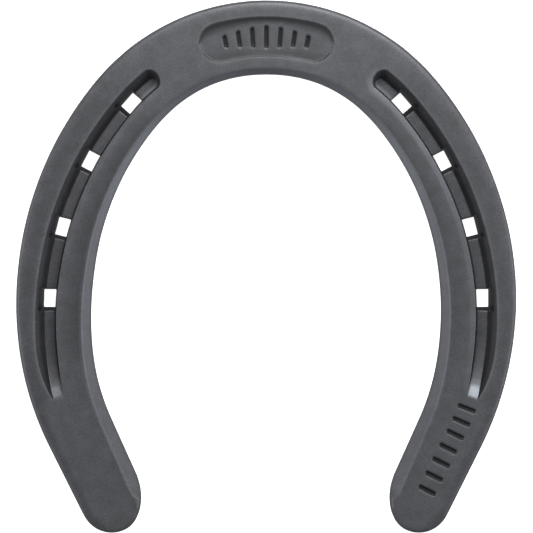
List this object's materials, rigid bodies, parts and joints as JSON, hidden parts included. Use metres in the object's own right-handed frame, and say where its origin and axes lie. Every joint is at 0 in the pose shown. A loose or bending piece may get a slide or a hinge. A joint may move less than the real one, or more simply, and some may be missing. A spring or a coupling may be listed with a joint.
{
  "type": "horseshoe",
  "caption": "Creased steel horseshoe with punched rectangular nail holes, a bevelled inner edge, round heel ends and a plain stamped toe panel.",
  "frame": {"origin": "middle of the shoe's box, on the flat hoof face", "axes": "+X across the shoe, +Y towards the toe, +Z from the hoof face to the creased ground face"},
  "size_m": [0.127, 0.1352, 0.008],
  "materials": {
    "forged_steel": "semi-matte blackened forge finish, slightly mottled"
  },
  "bodies": {
    "root": {"horseshoe": "forged_steel"}
  },
  "joints": []
}
